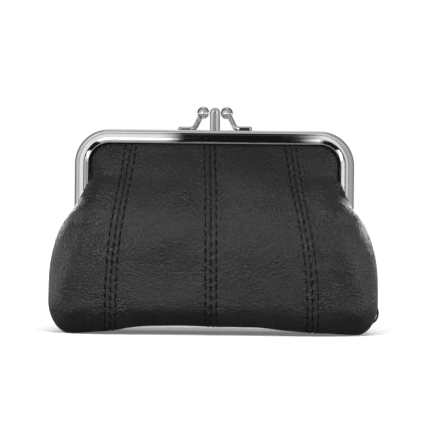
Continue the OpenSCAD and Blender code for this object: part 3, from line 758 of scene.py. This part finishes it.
def new_material(name, color, roughness, metallic=0.0, specular=0.5):
    """Material, its node tree, its shader and the object coordinates for its textures."""
    mat = bpy.data.materials.new(name)
    mat.use_nodes = True
    tree = mat.node_tree
    shader = tree.nodes["Principled BSDF"]
    shader.inputs["Base Color"].default_value = (*color, 1)
    shader.inputs["Roughness"].default_value = roughness
    shader.inputs["Metallic"].default_value = metallic
    shader.inputs["Specular IOR Level"].default_value = specular
    return mat, tree, shader, node(tree, "ShaderNodeTexCoord").outputs["Object"]


def node(tree, kind, inputs=None, **settings):
    n = tree.nodes.new(kind)
    for key, value in settings.items():
        setattr(n, key, value)
    for key, value in (inputs or {}).items():
        if isinstance(value, bpy.types.NodeSocket):
            tree.links.new(value, n.inputs[key])
        else:
            n.inputs[key].default_value = value
    return n


def maths(tree, operation, *values):
    return node(tree, "ShaderNodeMath", dict(enumerate(values)), operation=operation).outputs[0]


def map_range(tree, value, low, high, start, end, **settings):
    """Node that goes from start to end as the value goes from low to high."""
    limits = {"From Min": low, "From Max": high, "To Min": start, "To Max": end}
    return node(tree, "ShaderNodeMapRange", {"Value": value, **limits}, **settings).outputs[0]


def soft_step(tree, value, low, high, start, end):
    return map_range(tree, value, low, high, start, end, interpolation_type="SMOOTHSTEP")


def mix_colors(tree, blend, factor, first, second):
    inputs = {0: factor, 6: first, 7: second}
    return node(tree, "ShaderNodeMix", inputs, data_type="RGBA", blend_type=blend).outputs[2]


def texture(tree, kind, where, scale, inputs=None, **settings):
    """Texture node's own measure: Fac, or the distance to the nearest cell."""
    inputs = {"Vector": where, "Scale": scale, **(inputs or {})}
    n = node(tree, "ShaderNodeTex" + kind, inputs, **settings)
    return n.outputs["Distance" if kind == "Voronoi" else "Fac"]


def ramp(tree, source, *stops):
    n = tree.nodes.new("ShaderNodeValToRGB")
    while len(n.color_ramp.elements) < len(stops):
        n.color_ramp.elements.new(0.5)
    for element, (place, color) in zip(n.color_ramp.elements, stops):
        element.position = place
        element.color = (*color, 1) if isinstance(color, tuple) else (color, color, color, 1)
    tree.links.new(source, n.inputs["Fac"])
    return n.outputs["Color"]


def set_bump(tree, shader, height, distance, strength):
    bump = node(tree, "ShaderNodeBump", {"Height": height, "Distance": distance, "Strength": strength})
    tree.links.new(bump.outputs["Normal"], shader.inputs["Normal"])


def leather_material():
    name, black = "black_grained_leather", (0.012, 0.0125, 0.012)
    mat, tree, shader, where = new_material(name, black, 0.44, specular=0.26)
    # The grain: pebbles of two sizes, warped a little, under creases and slanted wrinkles.
    warp = node(tree, "ShaderNodeTexNoise", {"Vector": where, "Scale": 420.0, "Detail": 2.0})
    moved = mix_colors(tree, "ADD", 0.0006, where, warp.outputs["Color"])
    pebbles = texture(tree, "Voronoi", moved, 1300.0, {"Smoothness": 0.55}, feature="SMOOTH_F1")
    small = texture(tree, "Voronoi", moved, 2800.0, {"Smoothness": 0.5}, feature="SMOOTH_F1")
    creases = texture(tree, "Noise", where, 850.0, {"Detail": 4.0, "Roughness": 0.6})
    slant = {"Vector": where, "Rotation": (0.0, 0.7, 0.0), "Scale": (1.0, 1.0, 0.35)}
    slanted = node(tree, "ShaderNodeMapping", slant).outputs[0]
    wrinkles = texture(tree, "Noise", slanted, 1250.0, {"Detail": 3.0, "Distortion": 0.6})
    height = maths(tree, "MULTIPLY", pebbles, -0.9)
    for layer, share in ((small, -0.45), (creases, 0.7), (wrinkles, 0.55)):
        height = maths(tree, "MULTIPLY_ADD", layer, share, height)
    set_bump(tree, shader, height, 0.00027, 1.0)
    patches = texture(tree, "Noise", where, 55.0, {"Detail": 4.0})
    tone = ramp(tree, patches, (0.3, (0.0042, 0.0046, 0.0045)), (0.7, (0.0080, 0.0083, 0.0079)))
    tops = ramp(tree, pebbles, (0.1, 1.25), (0.75, 0.55))
    color = mix_colors(tree, "MULTIPLY", 1.0, tone, tops)
    tree.links.new(color, shader.inputs["Base Color"])
    gloss = map_range(tree, patches, 0.3, 0.7, 0.2, 0.3)
    rough = maths(tree, "MULTIPLY_ADD", pebbles, 0.2, gloss)
    tree.links.new(rough, shader.inputs["Roughness"])
    return mat


def thread_material():
    name, black = "black_sewing_thread", (0.002, 0.002, 0.002)
    mat, tree, shader, where = new_material(name, black, 0.85, specular=0.05)
    twist = texture(tree, "Wave", where, 900.0, {"Distortion": 1.0}, bands_direction="DIAGONAL")
    set_bump(tree, shader, twist, 0.00006, 0.8)
    tone = ramp(tree, twist, (0.2, (0.001, 0.001, 0.001)), (0.8, (0.003, 0.003, 0.003)))
    tree.links.new(tone, shader.inputs["Base Color"])
    return mat


def chrome_material():
    mat, tree, shader, where = new_material("chrome_plate", (0.80, 0.80, 0.79), 0.04, metallic=1.0)
    smudge = texture(tree, "Noise", where, 90.0, {"Detail": 5.0, "Roughness": 0.6})
    gloss = map_range(tree, smudge, 0.35, 0.7, 0.02, 0.06)
    tree.links.new(gloss, shader.inputs["Roughness"])
    tone = ramp(tree, smudge, (0.3, (0.83, 0.83, 0.825)), (0.7, (0.89, 0.89, 0.88)))
    # Painted shade: an ambient occlusion node darkens the base colour in crevices and grooves.
    open_air = node(tree, "ShaderNodeAmbientOcclusion", {"Distance": PAINTED_SHADE_REACH}, samples=8).outputs["AO"]
    crevice_painted_shade = ramp(tree, open_air, (0.3, 0.1), (0.7, 1.0))
    color = mix_colors(tree, "MULTIPLY", 1.0, tone, crevice_painted_shade)
    tree.links.new(color, shader.inputs["Base Color"])
    # Faint polishing lines on a faint wave.
    stretch = {"Vector": where, "Scale": (40.0, 900.0, 900.0)}
    stretched = node(tree, "ShaderNodeMapping", stretch).outputs[0]
    lines = texture(tree, "Noise", stretched, 3.0, {"Detail": 3.0})
    wave = texture(tree, "Noise", where, 60.0, {"Detail": 1.0})
    set_bump(tree, shader, maths(tree, "MULTIPLY_ADD", lines, 0.02, wave), 0.00012, 0.15)
    return mat


def wire_material():
    mat, tree, shader, where = new_material("dark_plated_wire", (0.02, 0.02, 0.021), 0.35, metallic=1.0)
    wear = texture(tree, "Noise", where, 700.0, {"Detail": 4.0})
    tone = ramp(tree, wear, (0.35, (0.012, 0.012, 0.013)), (0.7, (0.05, 0.05, 0.05)))
    tree.links.new(tone, shader.inputs["Base Color"])
    tree.links.new(map_range(tree, wear, 0.0, 1.0, 0.2, 0.45), shader.inputs["Roughness"])
    set_bump(tree, shader, wear, 0.00003, 0.4)
    return mat


def weave_material(name, dark, light, scale, roughness=0.85):
    """Plain weave: two crossed sets of threads."""
    mat, tree, shader, where = new_material(name, light, roughness, specular=0.2)
    warp = texture(tree, "Wave", where, scale, {"Distortion": 0.3}, bands_direction="X")
    weft = texture(tree, "Wave", where, scale, {"Distortion": 0.3}, bands_direction="Z")
    cross = maths(tree, "MULTIPLY", warp, weft)
    slub = texture(tree, "Noise", where, 160.0, {"Detail": 4.0})
    tone = ramp(tree, maths(tree, "MULTIPLY_ADD", slub, 0.5, cross), (0.15, dark), (0.85, light))
    tree.links.new(tone, shader.inputs["Base Color"])
    set_bump(tree, shader, cross, 0.00008, 0.6)
    gloss = map_range(tree, slub, 0.0, 1.0, roughness - 0.1, roughness + 0.1)
    tree.links.new(gloss, shader.inputs["Roughness"])
    return mat


def paper_material():
    mat, tree, shader, where = new_material("twisted_paper", (0.42, 0.33, 0.21), 0.85, specular=0.2)
    twist = texture(tree, "Wave", where, 260.0, {"Distortion": 2.0}, bands_direction="DIAGONAL")
    fibre = texture(tree, "Noise", where, 1500.0, {"Detail": 3.0})
    tone = ramp(tree, fibre, (0.3, (0.30, 0.23, 0.14)), (0.7, (0.50, 0.41, 0.28)))
    tree.links.new(tone, shader.inputs["Base Color"])
    set_bump(tree, shader, twist, 0.0001, 0.7)
    return mat


# The object

leather = leather_material()
thread = thread_material()
chrome = chrome_material()
wire = wire_material()
lining_cloth = weave_material("grey_lining_cloth", (0.025, 0.025, 0.028), (0.06, 0.06, 0.066), 900.0)
paper = paper_material()

NODE_MATERIALS = {
    "front_frame": chrome, "rear_frame": chrome, "middle_frame": chrome, "left_hinge_pin": chrome,
    "right_hinge_pin": chrome, "front_clasp_arm": chrome, "front_clasp_ball": chrome,
    "rear_clasp_arm": chrome, "rear_clasp_ball": chrome, "clasp_post": chrome,
    "front_paper_cord": paper, "rear_paper_cord": paper, "key_ring": wire,
}
for name, material in NODE_MATERIALS.items():
    mesh = frame["nodes"][name].data
    mesh.materials.clear()
    mesh.materials.append(material)


for face, seed in (("front", 3), ("rear", 11)):
    for panel, a, b, side in PANELS:
        build_panel(face, panel, a, b, side, leather, seed)
    build_thread(face, thread)
    build_lining(face, lining_cloth)
    build_divider(face, lining_cloth)
build_tab(leather, thread)

# Studio, in metres

WHITE = (1, 1, 1, 1)


def plainly_seen(tree, rays):
    """1 for what the camera sees, also through glass."""
    return maths(tree, "MAXIMUM", rays.outputs["Is Camera Ray"], rays.outputs["Is Transmission Ray"])


def build_world():
    """The room, by the direction from which its light comes: a window of white paper in front, a
    softbox on the left, dark flags beside the object, and grey behind and above it. Angles are in
    radians from straight in front. Only reflections see the room, and the camera sees white."""
    world = bpy.data.worlds.new("studio")
    bpy.context.scene.world = world
    world.use_nodes = True
    tree = world.node_tree
    tree.nodes.clear()
    way = node(tree, "ShaderNodeSeparateXYZ", {0: node(tree, "ShaderNodeTexCoord").outputs["Generated"]})
    turn = maths(tree, "ARCTAN2", way.outputs[0], maths(tree, "MULTIPLY", way.outputs[1], -1.0))
    angle = maths(tree, "ABSOLUTE", turn)
    window_left = soft_step(tree, turn, -0.75, -0.35, 0.0, 1.0)
    window_right = soft_step(tree, turn, 0.12, 0.32, 1.0, 0.0)
    window_top = soft_step(tree, way.outputs[2], 0.5, 0.7, 1.0, 0.0)
    window = maths(tree, "MULTIPLY", maths(tree, "MULTIPLY", window_left, window_right), window_top)
    off_softbox = maths(tree, "ABSOLUTE", maths(tree, "ADD", turn, 1.0))
    softbox = maths(tree, "MULTIPLY", soft_step(tree, off_softbox, 0.22, 0.35, 1.0, 0.0), window_top)
    flags = soft_step(tree, angle, 1.5, 1.8, 0.34, 0.05)
    behind = soft_step(tree, angle, 2.3, 2.7, 0.0, 0.6)
    ceiling = soft_step(tree, way.outputs[2], 0.86, 0.97, 0.0, 0.12)
    room = maths(tree, "ADD", maths(tree, "MULTIPLY", window, 0.52), maths(tree, "MULTIPLY", softbox, 0.2))
    for part in (flags, behind, ceiling):
        room = maths(tree, "ADD", room, part)
    rays = node(tree, "ShaderNodeLightPath")
    lit = node(tree, "ShaderNodeBackground", {"Color": WHITE, "Strength": 0.28}).outputs[0]
    mirrored = node(tree, "ShaderNodeBackground", {"Color": WHITE, "Strength": room}).outputs[0]
    plain = node(tree, "ShaderNodeBackground", {"Color": WHITE, "Strength": 1.0}).outputs[0]
    inside = node(tree, "ShaderNodeMixShader", {0: rays.outputs["Is Glossy Ray"], 1: lit, 2: mirrored})
    whole = node(tree, "ShaderNodeMixShader", {0: plainly_seen(tree, rays), 1: inside.outputs[0], 2: plain})
    node(tree, "ShaderNodeOutputWorld", {"Surface": whole.outputs[0]})


def flat_mesh(name, corners, material):
    mesh = bpy.data.meshes.new(name)
    mesh.from_pydata(corners, [], [tuple(range(len(corners)))])
    obj = bpy.data.objects.new(name, mesh)
    bpy.context.scene.collection.objects.link(obj)
    mesh.materials.append(material)
    return obj


def empty_material(name):
    mat = bpy.data.materials.new(name)
    mat.use_nodes = True
    mat.node_tree.nodes.clear()
    return mat, mat.node_tree


def floor_material():
    """Pale floor: it keeps the shadow near the object and goes over into plain white further away.
    Reflections see it darker near the object: a painted shade in the floor's colour, seen only by glossy
    rays."""
    mat, tree = empty_material("pale_floor")
    rays = node(tree, "ShaderNodeLightPath")
    glossy = rays.outputs["Is Glossy Ray"]
    spot = node(tree, "ShaderNodeTexCoord").outputs["Object"]
    far = node(tree, "ShaderNodeVectorMath", {0: spot}, operation="LENGTH").outputs["Value"]
    # Painted shade: for glossy rays the floor's colour is darkened near the object.
    painted_shade_for_reflections = soft_step(tree, far, 0.08, 0.6, 0.16, 0.8)
    shade = node(tree, "ShaderNodeMix", {0: glossy, 2: 0.8, 3: painted_shade_for_reflections}).outputs[0]
    diffuse = node(tree, "ShaderNodeBsdfDiffuse", {"Color": shade}).outputs[0]
    extra = soft_step(tree, far, 0.12, 0.5, 0.17, 1.0)
    mirrored = maths(tree, "MULTIPLY", glossy, soft_step(tree, far, 0.8, 2.0, 0.0, 0.6))
    strength = maths(tree, "MULTIPLY_ADD", plainly_seen(tree, rays), extra, mirrored)
    glow = node(tree, "ShaderNodeEmission", {"Color": WHITE, "Strength": strength}).outputs[0]
    both = node(tree, "ShaderNodeAddShader", {0: diffuse, 1: glow}).outputs[0]
    node(tree, "ShaderNodeOutputMaterial", {"Surface": both})
    return mat


def board_material():
    """Dark boards with soft edges, which lie where the frame's face turns from black to white in the
    photo. The edges run outward with the distance from the object, over BOARD_RUN."""
    mat, tree = empty_material("dark_board")
    at = node(tree, "ShaderNodeSeparateXYZ", {0: node(tree, "ShaderNodeTexCoord").outputs["Object"]})
    spread = maths(tree, "MULTIPLY_ADD", maths(tree, "ABSOLUTE", at.outputs[1]), 1 / BOARD_RUN, 1.0)
    on_face = maths(tree, "DIVIDE", at.outputs[0], spread)
    left_fade = soft_step(tree, on_face, -0.022, -0.013, 1.0, 0.0)
    right_fade = soft_step(tree, on_face, 0.033, 0.045, 0.0, 1.0)
    gone = maths(tree, "MAXIMUM", left_fade, right_fade)
    paint = node(tree, "ShaderNodeEmission", {"Color": WHITE, "Strength": 0.008}).outputs[0]
    clear = node(tree, "ShaderNodeBsdfTransparent").outputs[0]
    mix = node(tree, "ShaderNodeMixShader", {0: gone, 1: paint, 2: clear}).outputs[0]
    node(tree, "ShaderNodeOutputMaterial", {"Surface": mix})
    return mat


build_world()

# The floor lies a hair under the object, so that its base never cuts into it.
FLOOR_HALF = 3.0
FLOOR_DROP = 0.00006
corners = [(-FLOOR_HALF, -FLOOR_HALF, 0), (FLOOR_HALF, -FLOOR_HALF, 0)]
corners += [(FLOOR_HALF, FLOOR_HALF, 0), (-FLOOR_HALF, FLOOR_HALF, 0)]
floor = flat_mesh("floor", corners, floor_material())
floor.location.z = -FLOOR_DROP

# Two boards on the camera's side, upright and on the table, that only reflections see.
BOARD_Y, BOARD_HALF, BOARD_TOP, BOARD_RUN = -0.93, 0.12, 0.55, 0.9
BOARD_NEAR_Y, BOARD_LIFT = -0.16, 0.0002
board_paint = board_material()
for name, (y_far, z_far), (y_near, z_near) in (
    ("upright_board", (BOARD_Y, 0), (BOARD_Y, BOARD_TOP)),
    ("lying_board", (BOARD_Y, BOARD_LIFT), (BOARD_NEAR_Y, BOARD_LIFT)),
):
    corners = [(-BOARD_HALF, y_far, z_far), (BOARD_HALF, y_far, z_far)]
    corners += [(BOARD_HALF, y_near, z_near), (-BOARD_HALF, y_near, z_near)]
    board = flat_mesh(name, corners, board_paint)
    board.visible_camera = False
    board.visible_diffuse = False
    board.visible_shadow = False
    board.visible_transmission = False

# The lamps light everything but the chrome, which shows the room instead. Those behind leave out the
# floor too.
lit_by_lamps = bpy.data.collections.new("lit_by_lamps")
lit_from_behind = bpy.data.collections.new("lit_from_behind")
for obj in bpy.context.scene.objects:
    if obj.type == "MESH" and chrome.name not in obj.data.materials:
        lit_by_lamps.objects.link(obj)
        if obj != floor:
            lit_from_behind.objects.link(obj)


def lamp(name, place, aim, width, height, power, lit=lit_by_lamps):
    data = bpy.data.lights.new(name, "AREA")
    data.shape = "RECTANGLE"
    data.size = width
    data.size_y = height
    data.energy = power
    obj = bpy.data.objects.new(name, data)
    obj.location = place
    obj.rotation_euler = (Vector(aim) - Vector(place)).to_track_quat("-Z", "Y").to_euler()
    bpy.context.scene.collection.objects.link(obj)
    obj.light_linking.receiver_collection = lit
    return obj


MIDDLE = (0, 0, 0.04)
lamp("key_softbox", (-0.27, -0.85, 0.36), MIDDLE, 0.22, 0.22, 6.1)
lamp("fill_softbox", (0.4, -0.8, 0.32), MIDDLE, 0.25, 0.25, 0.6)
lamp("right_softbox", (0.8, -0.42, 0.28), (0.03, 0, 0.04), 0.22, 0.22, 3.6)
lamp("left_softbox", (-0.8, -0.45, 0.3), (-0.03, 0, 0.04), 0.22, 0.22, 1.5)
top = lamp("top_softbox", (0.05, -0.55, 0.8), (0, 0, 0.03), 0.6, 0.6, 8.5)
top.visible_glossy = False
lamp("back_softbox", (-0.35, 0.8, 0.4), MIDDLE, 0.3, 0.3, 6.0, lit=lit_from_behind)
lamp("back_fill", (0.5, 0.75, 0.35), MIDDLE, 0.3, 0.3, 3.0, lit=lit_from_behind)
lamp("right_strip", (0.75, 0.15, 0.09), (0.05, 0, 0.03), 0.3, 0.16, 1.1)
lamp("left_strip", (-0.7, 0.3, 0.09), (-0.05, 0, 0.03), 0.3, 0.16, 1.4)

# The picture is VIEW_WIDTH wide at the frame's face. The roll, in degrees, is the frame's tilt in it.
CAMERA_PLACE = (0.0004, -0.9068, 0.0477)
CAMERA_ROLL = -0.6
VIEW_WIDTH = 0.1722
SENSOR_MM = 36.0
camera_data = bpy.data.cameras.new("camera")
camera = bpy.data.objects.new("camera", camera_data)
bpy.context.scene.collection.objects.link(camera)
bpy.context.scene.camera = camera
camera.location = CAMERA_PLACE
camera.rotation_euler = (math.radians(90), math.radians(CAMERA_ROLL), 0)
camera_data.sensor_width = SENSOR_MM
camera_data.lens = SENSOR_MM * (FRAME_FACE_Y * MM - CAMERA_PLACE[1]) / VIEW_WIDTH
camera_data.clip_start = 0.01

bpy.context.scene.view_settings.view_transform = "Standard"
